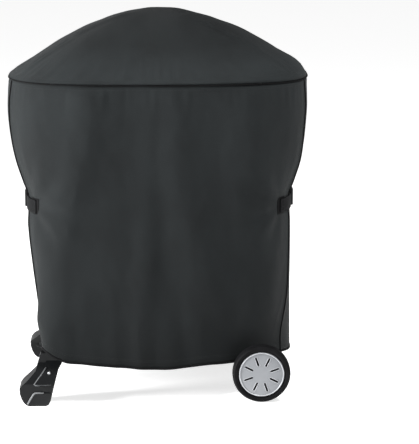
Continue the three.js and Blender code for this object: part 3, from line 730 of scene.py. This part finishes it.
def side_strap(side):
    name = "right" if side > 0 else "left"
    middle = 0.0 if side > 0 else pi

    def webbing(first, last, label, node):
        # Lies just off the cloth, so that the buckle's plug can slide along it.
        def place(across, up):
            angle = between(first, last, across)
            spot = skirt(STRAP_HEIGHT, angle)
            off = 2.25 + 0.15 * noise.noise((spot.y / 18, side * 3.0, up))
            edge = 0.25 * hump(abs(up - 0.5), 0.5, 0.06)
            point = skirt(STRAP_HEIGHT, angle, off - edge if edge > 0.01 else off)
            return point + Vector((0, 0, (up - 0.5) * STRAP_WIDTH))

        return strip(f"{name}_{label}_webbing", place, 60, 14, (0.14, 0.038), 0.0016, "webbing_black", "cover", node)

    end = radians(36.6)
    front_sign = -1 if side > 0 else 1
    socket_end, plug_end = side_angle(side, -29), side_angle(side, 9.5)
    front_end, rear_end = middle + front_sign * end, middle - front_sign * end
    straps = [
        webbing(*sorted((front_end, socket_end)), "front", f"strap_{name}_front"),
        webbing(*sorted((plug_end, rear_end)), "rear", f"strap_{name}_rear"),
    ]
    for label, far in (("front", front_end), ("rear", rear_end)):
        towards = 1 if far > middle else -1
        first, last = sorted((middle + towards * 5 * COLUMN, middle + towards * 6 * COLUMN))

        def patch_place(across, up):
            angle = between(first, last, across)
            rim = 0.7 * max(hump(abs(up - 0.5), 0.5, 0.05), hump(abs(across - 0.5), 0.5, 0.05))
            return skirt(STRAP_HEIGHT, angle, 0.5 - rim) + Vector((0, 0, (up - 0.5) * 46))

        patch = strip(f"{name}_{label}_patch", patch_place, 26, 26, (0.04, 0.046), 0.001, "piping_black", "cover",
                      f"patch_{name}_{label}")
        # A sewn box with a cross in it holds the strap's end.
        box_first, box_last = sorted((middle + towards * radians(32.9), middle + towards * radians(36.0)))

        def on_strap(across, up):
            return skirt(STRAP_HEIGHT, between(box_first, box_last, across), 3.95) + Vector((0, 0, up))

        sewn = []
        for up in (-15, 15):
            sewn += stitch_row(lambda t, up=up: on_strap(t, up), 0, 1, 6)
        for across in (0, 1):
            sewn += stitch_row(lambda t, across=across: on_strap(across, t), -15, 15, 8)
        sewn += stitch_row(lambda t: on_strap(t, between(-15, 15, t)), 0, 1, 9)
        sewn += stitch_row(lambda t: on_strap(t, between(15, -15, t)), 0, 1, 9)
        tacks = stitches(f"{name}_{label}_box_stitch", sewn, "cover", 0.0026, 0.0007)


def on_side(bm, side):
    """Turns and moves a flat buckle piece in millimetres on to its side of the cover, in metres."""
    half = along(RIGHT_SIDE if side > 0 else LEFT_SIDE, STRAP_HEIGHT) + 0.6
    turn = Matrix.Rotation(0 if side > 0 else pi, 4, "Z") @ Matrix.Diagonal((1, side, 1, 1))
    spot = Matrix.Translation((side * half, 0, STRAP_HEIGHT))
    bmesh.ops.transform(bm, verts=bm.verts, matrix=Matrix.Scale(MM, 4) @ spot @ turn)
    if side < 0:
        bmesh.ops.reverse_faces(bm, faces=bm.faces)


def block(bm, centre, size):
    made = bmesh.ops.create_cube(bm, size=1, matrix=Matrix.Translation(centre) @ Matrix.Diagonal((*size, 1)))
    return made["verts"]


def cut(obj, cutter, operation="DIFFERENCE"):
    """Cuts one piece with another mesh, and keeps only the result."""
    tool = obj.modifiers.new("cut", "BOOLEAN")
    tool.operation = operation
    tool.object = cutter
    tool.solver = "EXACT"
    result = bpy.data.meshes.new_from_object(obj.evaluated_get(bpy.context.evaluated_depsgraph_get()))
    obj.modifiers.remove(tool)
    old = obj.data
    obj.data = result
    result.name = obj.name
    bpy.data.meshes.remove(old)
    mesh = cutter.data
    bpy.data.objects.remove(cutter)
    bpy.data.meshes.remove(mesh)
    return obj


def cutter(bm):
    mesh = bpy.data.meshes.new("cutter")
    bm.to_mesh(mesh)
    bm.free()
    tool = bpy.data.objects.new("cutter", mesh)
    bpy.context.scene.collection.objects.link(tool)
    return tool


def crisp(obj, angle=32):
    """Smooth shading inside a face, and sharp edges where it turns."""
    obj.data.set_sharp_from_angle(angle=radians(angle))
    return obj


def rounded_slab(bm, centre, size, bevel, segments=3):
    """A slab with its long corners rounded, for a moulded buckle half."""
    verts = block(bm, centre, size)
    edges = [e for e in bm.edges if all(v in verts for v in e.verts)]
    bmesh.ops.bevel(bm, geom=edges, offset=bevel, offset_type="OFFSET", segments=segments, profile=0.5,
                    affect="EDGES", material=-1)


def buckle(side):
    name = "right" if side > 0 else "left"
    bm = bmesh.new()
    rounded_slab(bm, (4.5, -18, 0), (9, 36, 46), 2.4)
    on_side(bm, side)
    socket = piece(f"{name}_buckle_socket", bm, "plastic_black", "cover", f"buckle_{name}_socket")
    hollow = bmesh.new()
    block(hollow, (5, -12, 0), (4.4, 26.4, 41))
    on_side(hollow, side)
    cut(socket, cutter(hollow))
    windows = bmesh.new()
    block(windows, (5, -16, 0), (4, 12, 60))
    on_side(windows, side)
    cut(socket, cutter(windows))
    throat = bmesh.new()
    block(throat, (2.2, -33, 0), (2.8, 12, 39))
    on_side(throat, side)
    cut(socket, cutter(throat))
    face = bmesh.new()
    for k in range(3):
        block(face, (9.2, -7, (k - 1) * 9), (1.2, 9, 2.2))
    on_side(face, side)
    cut(socket, cutter(face))
    crisp(softened(socket, 0.0004, 2, 40))
    bm = bmesh.new()
    rounded_slab(bm, (4.5, 9.3, 0), (9, 18, 46), 2.4)
    on_side(bm, side)
    plug = piece(f"{name}_buckle_plug", bm, "plastic_black", f"{name}_plug", f"buckle_{name}_plug")
    prongs = bmesh.new()
    for z in (-15.5, 15.5):
        block(prongs, (5.2, -10.5, z), (3.2, 25, 4.5))
        block(prongs, (5.2, -16, z * 17.2 / 15.5), (3, 8, 5.5))
    block(prongs, (5.2, -8, 0), (3.2, 18, 6))
    on_side(prongs, side)
    cut(plug, cutter(prongs), "UNION")
    slot = bmesh.new()
    block(slot, (2.2, 9, 0), (3, 40, 39))
    on_side(slot, side)
    cut(plug, cutter(slot))
    grips = bmesh.new()
    for k in range(5):
        block(grips, (9.3, 4.4 + 2.6 * k, 0), (1.2, 1.1, 30))
    on_side(grips, side)
    cut(plug, cutter(grips))
    crisp(softened(plug, 0.0003, 2, 40))


for side in (-1, 1):
    side_strap(side)
    buckle(side)


# ---------------------------------------------------------------- wheels

WHEEL_X, WHEEL_Y, WHEEL_Z = 0.279, 0.246, 0.078
SLOT_TURNS = [Matrix.Rotation(radians(19 + 45 * k), 4, "Y") for k in range(8)]


def turned(profile, steps=96):
    """A turned piece about Y: profile is (radius, outwards) points in millimetres, closed on itself."""
    bm = bmesh.new()
    ring = [bm.verts.new((radius, out, 0)) for radius, out in profile]
    edges = [bm.edges.new((ring[k], ring[(k + 1) % len(ring)])) for k in range(len(ring))]
    bmesh.ops.spin(bm, geom=ring + edges, cent=(0, 0, 0), axis=(0, 1, 0), angle=2 * pi, steps=steps, use_merge=True,
                   use_duplicate=False)
    bmesh.ops.remove_doubles(bm, verts=bm.verts, dist=1e-4)
    bmesh.ops.recalc_face_normals(bm, faces=bm.faces)
    return bm


def on_axle(bm, side):
    """Moves a turned piece to its wheel. Its outer face looks away from the cart."""
    flip = Matrix.Rotation(0 if side > 0 else pi, 4, "Z")
    bmesh.ops.transform(bm, verts=bm.verts, matrix=Matrix.Translation((WHEEL_X, side * WHEEL_Y, WHEEL_Z))
                        @ Matrix.Scale(MM, 4) @ flip)
    return bm


def wheel(side):
    name = "rear" if side > 0 else "front"
    body = f"{name}_wheel"
    tyre = [(64, -16), (68, -17.6), (70, -18.9), (72.4, -18.9), (74.6, -17), (76.2, -14.5), (77.4, -11), (78, -8.5),
            (78, -5), (76.9, -4.4), (76.9, -3.2), (78, -2.6), (78, 2.6), (76.9, 3.2), (76.9, 4.4), (78, 5), (78, 8.5),
            (77.4, 11), (76.2, 14.5), (74.6, 17), (72.4, 18.9), (70, 18.9), (68.6, 18.1), (67.4, 18.1), (66.4, 17.2),
            (64.4, 16.4), (62.8, 15), (62.8, 0), (62.8, -15)]
    rubber = piece(f"{name}_tyre", on_axle(turned(tyre, 128), side), "tyre_black", body, f"{name}_wheel_tyre")
    # Shallow bars across both shoulders of the tread.
    bars = bmesh.new()
    for k in range(48):
        for edge in (-1, 1):
            turn = Matrix.Rotation(2 * pi * (k + 0.25 * edge) / 48, 4, "Y")
            spot = Matrix.Translation((78.2, edge * 11.5, 0)) @ Matrix.Rotation(edge * 0.35, 4, "X")
            bmesh.ops.create_cube(bars, size=1, matrix=turn @ spot @ Matrix.Diagonal((2.2, 9, 1.6, 1)))
    cut(rubber, cutter(on_axle(bars, side)))
    crisp(rubber, 40)
    hub = [(5.6, -17), (15, -17), (16.4, -15.6), (18, -8), (22, -6), (52, -6), (57.5, -9), (61, -11.5), (62.8, -11.5),
           (62.8, 9.6), (61.6, 10), (57, 10), (54, -2), (24, -2), (20, 10), (5.6, 10)]
    crisp(piece(f"{name}_hub", on_axle(turned(hub, 72), side), "plastic_black", body, f"{name}_wheel_hub"))
    cap = [(0, 17.4), (20, 17.3), (40, 16.9), (54, 16.2), (56.8, 15.6), (57.6, 16.4), (58.4, 16.9), (59.8, 16.6),
           (60.8, 15.4), (61, 14), (60.9, 11.4), (58, 11.2), (38, 12.6), (0, 12.6)]
    bm = bmesh.new()
    ring = [bm.verts.new((radius, out, 0)) for radius, out in cap]
    edges = [bm.edges.new(pair) for pair in zip(ring, ring[1:])]
    bmesh.ops.spin(bm, geom=ring + edges, cent=(0, 0, 0), axis=(0, 1, 0), angle=2 * pi, steps=128, use_merge=True)
    bmesh.ops.remove_doubles(bm, verts=bm.verts, dist=1e-4)
    bmesh.ops.recalc_face_normals(bm, faces=bm.faces)
    disc = piece(f"{name}_cap", on_axle(bm, side), "cap_grey", body, f"{name}_wheel_cap")
    slots = bmesh.new()
    for turn in SLOT_TURNS:
        spot = turn @ Matrix.Translation((37, 15, 0))
        made = bmesh.ops.create_cube(slots, size=1, matrix=spot @ Matrix.Diagonal((24, 14, 5.2, 1)))
        ends = [e for e in slots.edges if all(v in made["verts"] for v in e.verts)
                and abs((turn.inverted() @ e.verts[0].co).y - (turn.inverted() @ e.verts[1].co).y) > 5]
        bmesh.ops.bevel(slots, geom=ends, offset=1.3, offset_type="OFFSET", segments=3, profile=0.5, affect="EDGES",
                        material=-1)
    # Raised lips along each slot in the lighter grey: real raised edges with a painted highlight on them.
    lips = bmesh.new()
    for turn in SLOT_TURNS:
        for edge in (-1, 1):
            spot = turn @ Matrix.Translation((37, 16.6, edge * 3.4))
            made = bmesh.ops.create_cube(lips, size=1, matrix=spot @ Matrix.Diagonal((25.6, 1.8, 1.5, 1)))
            rims = [e for e in lips.edges if all(v in made["verts"] for v in e.verts)]
            bmesh.ops.bevel(lips, geom=rims, offset=0.45, offset_type="OFFSET", segments=2, profile=0.5, affect="EDGES",
                            material=-1)
    piece(f"{name}_cap_lips", on_axle(lips, side), "cap_grey", body, finish="cap_painted_highlight")
    # A rim ring in the lighter grey: painted highlight around the cap's edge.
    rim = turned([(57.2, 16.6), (57.8, 17.5), (58.8, 17.8), (59.8, 17.4), (60.6, 16.2), (60.4, 15), (58, 15)], 128)
    crisp(piece(f"{name}_cap_rim", on_axle(rim, side), "cap_grey", body, finish="cap_painted_highlight"), 60)
    cut(disc, cutter(on_axle(slots, side)))
    crisp(softened(disc, 0.0004, 2, 50), 40)


for side in (-1, 1):
    wheel(side)


# ---------------------------------------------------------------- feet

def prism(points, depth_from, depth_to):
    """A plate whose outline is (across, up) in millimetres, reaching from one depth to another along Y."""
    bm = bmesh.new()
    outline = bm.faces.new([bm.verts.new((x, depth_from, z)) for x, z in points])
    made = bmesh.ops.extrude_face_region(bm, geom=[outline])
    moved = [v for v in made["geom"] if isinstance(v, bmesh.types.BMVert)]
    bmesh.ops.translate(bm, verts=moved, vec=(0, depth_to - depth_from, 0))
    bmesh.ops.recalc_face_normals(bm, faces=bm.faces)
    return bm


def foot(side):
    name = "rear" if side > 0 else "front"
    outline = [(-299, 0), (-344, 0), (-351, 3), (-358, 10), (-364, 22), (-368, 35), (-368.5, 49), (-362, 57),
               (-346, 69.5), (-327, 88), (-314, 131.5), (-240, 131.5), (-266, 91), (-275, 59), (-282, 30),
               (-286, 14), (-291, 4)]
    reach = Matrix.Diagonal((MM, side * MM, MM, 1))

    def placed(bm):
        bmesh.ops.transform(bm, verts=bm.verts, matrix=reach)
        if side < 0:
            bmesh.ops.reverse_faces(bm, faces=bm.faces)
        return bm

    shell = piece(f"{name}_moulded_foot", placed(prism(outline, 192.5, 280.5)), "plastic_black", "cart_and_grill",
                  f"{name}_foot")
    # The front slopes back above the toe, and the heel is hollowed under the neck.
    slope = bmesh.new()
    face = slope.faces.new([slope.verts.new((-400, y, z)) for y, z in
                            ((300, 60), (281, 60), (225, 106), (225, 200), (300, 200))])
    made = bmesh.ops.extrude_face_region(slope, geom=[face])
    bmesh.ops.translate(slope, verts=[v for v in made["geom"] if isinstance(v, bmesh.types.BMVert)], vec=(220, 0, 0))
    bmesh.ops.recalc_face_normals(slope, faces=slope.faces)
    cut(shell, cutter(placed(slope)))
    heel = bmesh.new()
    face = heel.faces.new([heel.verts.new((-400, y, z)) for y, z in
                           ((213, -5), (180, -5), (180, 70), (192, 70), (213, 42))])
    made = bmesh.ops.extrude_face_region(heel, geom=[face])
    bmesh.ops.translate(heel, verts=[v for v in made["geom"] if isinstance(v, bmesh.types.BMVert)], vec=(220, 0, 0))
    bmesh.ops.recalc_face_normals(heel, faces=heel.faces)
    cut(shell, cutter(placed(heel)))
    crisp(softened(shell, 0.0035, 4, 28), 40)
    # The leg's boot lies on the slope, and the toe's cheek on the front; both have a broad chamfer to the left.
    boot = prism([(-331, 60), (-328, 66), (-301.5, 95), (-298, 131.5), (-246, 131.5), (-262, 104), (-271, 84),
                  (-277, 58), (-312, 58)], 200, 300)
    boot = piece(f"{name}_foot_boot", placed(boot), "plastic_black", "cart_and_grill")
    above = bmesh.new()
    block(above, (-290, 300, 100), (200, 100, 300))
    lift = Matrix.Translation((0, 4 * sin(radians(39.4)), 4 * cos(radians(39.4))))
    bmesh.ops.transform(above, verts=above.verts, matrix=lift @ Matrix.Translation((0, 253, 83))
                        @ Matrix.Rotation(radians(50.6), 4, "X") @ Matrix.Translation((0, -250, -100)))
    cut(boot, cutter(placed(above)))
    crisp(softened(boot, 0.0024, 3, 28), 40)
    cheek = prism([(-349, 5), (-330.5, 36), (-324, 38), (-286, 38), (-283, 30), (-289, 12), (-296, 4)], 262, 283.6)
    cheek = piece(f"{name}_foot_toe", placed(cheek), "plastic_black", "cart_and_grill")
    crisp(softened(cheek, 0.0028, 3, 28), 40)
    # Beads of much lighter plastic along the left and lower edges of the boot and the toe: painted highlights where the
    # chamfers meet the key light.
    for label, radius, corners in (
        ("boot_painted_highlight", 0.0016, [(-299, 244.6, 97), (-313, 263, 79), (-329, 285, 61.5), (-326, 286.2, 59.3),
                                (-319, 286.4, 58.8), (-300, 286.4, 58.8), (-284, 286.2, 59)]),
        ("toe_painted_highlight", 0.0023, [(-347.5, 283.2, 6.5), (-339, 283.4, 21), (-331, 283.4, 34), (-327, 283.2, 36.8),
                               (-319, 282.8, 37.4), (-304, 282.2, 37.6)]),
    ):
        course = [Vector((x, side * y, z)) * MM for x, y, z in corners]
        bead(f"{name}_foot_{label}", course, radius, False, "plastic_black", "cart_and_grill", finish="painted_highlight_plastic")


def screw(side):
    """A dome-headed screw with a cross recess, in the sloping face of the foot."""
    name = "rear" if side > 0 else "front"
    profile = [(0, 25.4), (2.2, 25.2), (3.6, 24.2), (4.4, 22.6), (4.4, 0), (0, 0)]
    bm = bmesh.new()
    ring = [bm.verts.new((radius, out, 0)) for radius, out in profile]
    edges = [bm.edges.new(pair) for pair in zip(ring, ring[1:])]
    bmesh.ops.spin(bm, geom=ring + edges, cent=(0, 0, 0), axis=(0, 1, 0), angle=2 * pi, steps=32, use_merge=True)
    bmesh.ops.remove_doubles(bm, verts=bm.verts, dist=1e-4)
    bmesh.ops.recalc_face_normals(bm, faces=bm.faces)
    matrix = Matrix.Diagonal((1, side, 1, 1)) @ Matrix.Translation((-0.29, 0.2369, 0.085)) @ Matrix.Scale(MM, 4)
    bmesh.ops.transform(bm, verts=bm.verts, matrix=matrix)
    if side < 0:
        bmesh.ops.reverse_faces(bm, faces=bm.faces)
    head = piece(f"{name}_foot_screw_head", bm, "steel", "cart_and_grill", f"{name}_foot_screw")
    for size in ((4.6, 3, 1.1), (1.1, 3, 4.6)):
        recess = bmesh.new()
        block(recess, (0, 25.8, 0), size)
        bmesh.ops.transform(recess, verts=recess.verts, matrix=matrix)
        bmesh.ops.recalc_face_normals(recess, faces=recess.faces)
        cut(head, cutter(recess))
    crisp(head)


for side in (-1, 1):
    foot(side)
    screw(side)


# ---------------------------------------------------------------- the grill and the cart under the cover

def rounded_copy(node, name, slot, width, segments=3):
    """A merged copy of a node with its sharp edges rounded."""
    source = frame["nodes"][node]
    bm = bmesh.new()
    bm.from_mesh(source.data)
    bmesh.ops.remove_doubles(bm, verts=bm.verts, dist=1e-6)
    bmesh.ops.dissolve_limit(bm, angle_limit=radians(1), verts=bm.verts, edges=bm.edges)
    return crisp(softened(piece(name, bm, slot, source["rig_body"], node), width * MM, segments, 30), 40)


# A node, the piece that stands for it, its finish, and the rounding of its edges in millimetres.
UNDER_THE_COVER = [
    ("grill_lid", "lid_shell", "lid_grey", 1.2),
    ("lid_handle", "lid_grip", "plastic_black", 1.6),
    ("left_handle_post", "left_handle_stem", "plastic_black", 1.2),
    ("right_handle_post", "right_handle_stem", "plastic_black", 1.2),
    ("left_lid_hinge", "left_hinge_bracket", "cast_aluminium", 1.2),
    ("right_lid_hinge", "right_hinge_bracket", "cast_aluminium", 1.2),
    ("firebox", "firebox_casting", "cast_aluminium", 1.5),
    ("cooking_grate", "cast_grate", "cast_iron", 1.2),
    ("burner_tube", "bent_burner", "steel", 0.6),
    ("drip_tray", "grease_tray", "steel", 1.0),
    ("control_panel", "control_fascia", "plastic_black", 1.5),
    ("control_knob", "gas_knob", "plastic_black", 0.9),
    ("igniter_button", "igniter_cap", "steel", 0.6),
    ("front_foot_leg", "front_foot_leg_bar", "tube_black", 2.5),
    ("rear_foot_leg", "rear_foot_leg_bar", "tube_black", 2.5),
    ("front_wheel_leg", "front_wheel_leg_bar", "tube_black", 2.5),
    ("rear_wheel_leg", "rear_wheel_leg_bar", "tube_black", 2.5),
    ("foot_crossbar", "foot_spreader", "tube_black", 1.0),
    ("left_crossbar", "left_spreader", "tube_black", 1.0),
    ("right_crossbar", "right_spreader", "tube_black", 1.0),
    ("front_cradle_rail", "front_rail", "tube_black", 1.5),
    ("rear_cradle_rail", "rear_rail", "tube_black", 1.5),
    ("axle", "wheel_axle", "steel", 0.8),
    ("front_pivot_bolt", "front_bolt", "steel", 0.8),
    ("rear_pivot_bolt", "rear_bolt", "steel", 0.8),
    ("front_pivot_bush", "front_bush", "plastic_black", 0.6),
    ("rear_pivot_bush", "rear_bush", "plastic_black", 0.6),
]

for node, name, slot, width in UNDER_THE_COVER:
    rounded_copy(node, name, slot, width)
